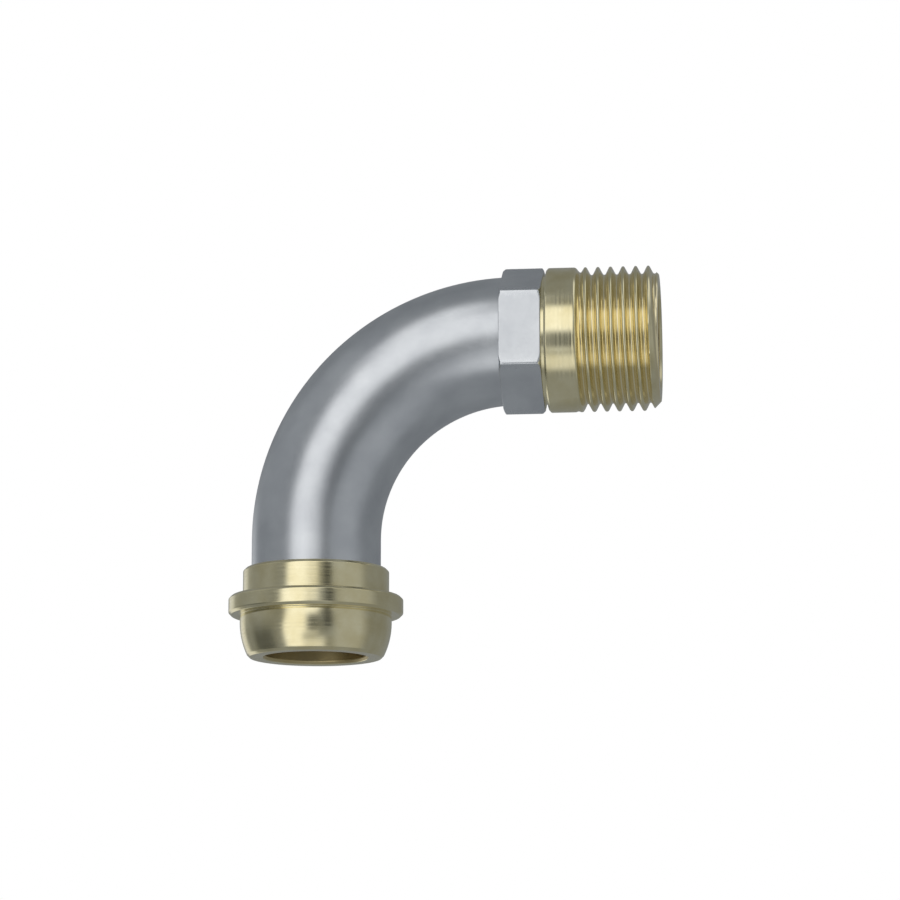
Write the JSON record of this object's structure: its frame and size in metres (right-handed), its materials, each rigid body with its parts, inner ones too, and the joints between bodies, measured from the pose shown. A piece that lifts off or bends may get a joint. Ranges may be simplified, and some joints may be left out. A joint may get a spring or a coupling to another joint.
{
  "type": "radiator elbow",
  "caption": "Bent radiator tail with a collar and ball seat for a union nut on one leg, and a spanner hexagon and male pipe thread on the other.",
  "frame": {"origin": "on the axis of the seat leg, half way through the union collar", "axes": "+X along the thread leg, out of its mouth; -Z along the seat leg, out of its mouth; the bend lies in the XZ plane"},
  "size_m": [0.0624, 0.0252, 0.0567],
  "materials": {
    "plated_brass": "satin nickel plate on the tube and hexagon; shank, thread, neck, collar and ball seat are turned bare brass"
  },
  "bodies": {
    "root": {"elbow": "plated_brass"}
  },
  "joints": []
}
